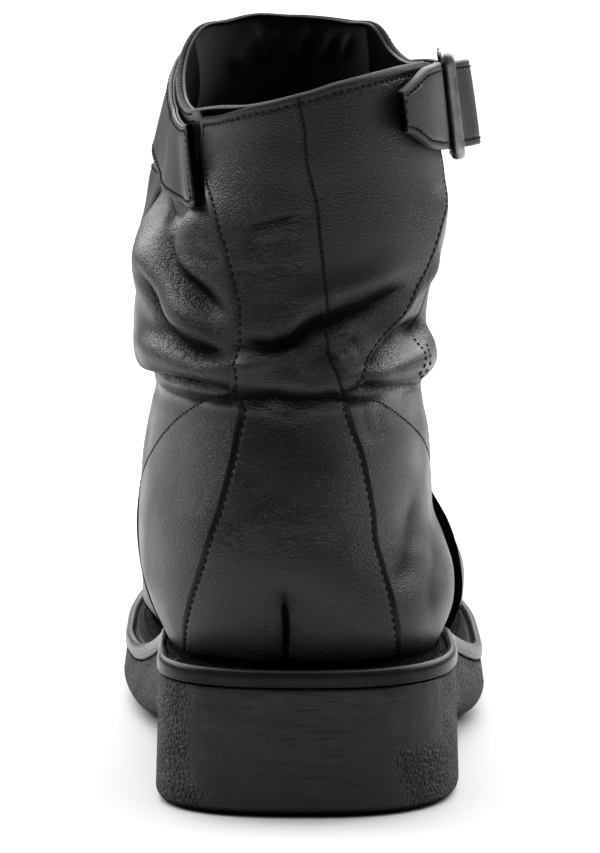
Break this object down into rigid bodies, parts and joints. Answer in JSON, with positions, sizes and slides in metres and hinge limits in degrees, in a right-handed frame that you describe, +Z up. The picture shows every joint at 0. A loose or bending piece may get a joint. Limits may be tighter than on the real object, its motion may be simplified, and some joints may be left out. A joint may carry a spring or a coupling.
{
  "type": "ankle boot",
  "caption": "Black slouched leather ankle boot for the right foot, with a crepe sole unit, smooth welt, raised vamp and a collar strap threaded through a plain metal frame.",
  "frame": {"origin": "on the floor under the middle of the heel", "axes": "+Y from heel to toe, +X to the outer side of the foot, +Z up the shaft"},
  "size_m": [0.0989, 0.286, 0.19],
  "materials": {
    "black_leather": "fine-grained satin black",
    "strap_leather": "smooth satin black, stitched edges",
    "gunmetal": "dark polished gunmetal",
    "welt_rubber": "smooth satin black",
    "crepe_rubber": "matt black, pebbled at the corners",
    "lining": "matt black lining"
  },
  "bodies": {
    "root": {"upper": "black_leather", "vamp": "black_leather", "back_stay": "black_leather", "shaft_back_panel": "black_leather", "collar_strap": "strap_leather", "buckle_frame": "gunmetal", "welt": "welt_rubber", "sole_unit": "crepe_rubber", "insole": "lining"}
  },
  "joints": []
}
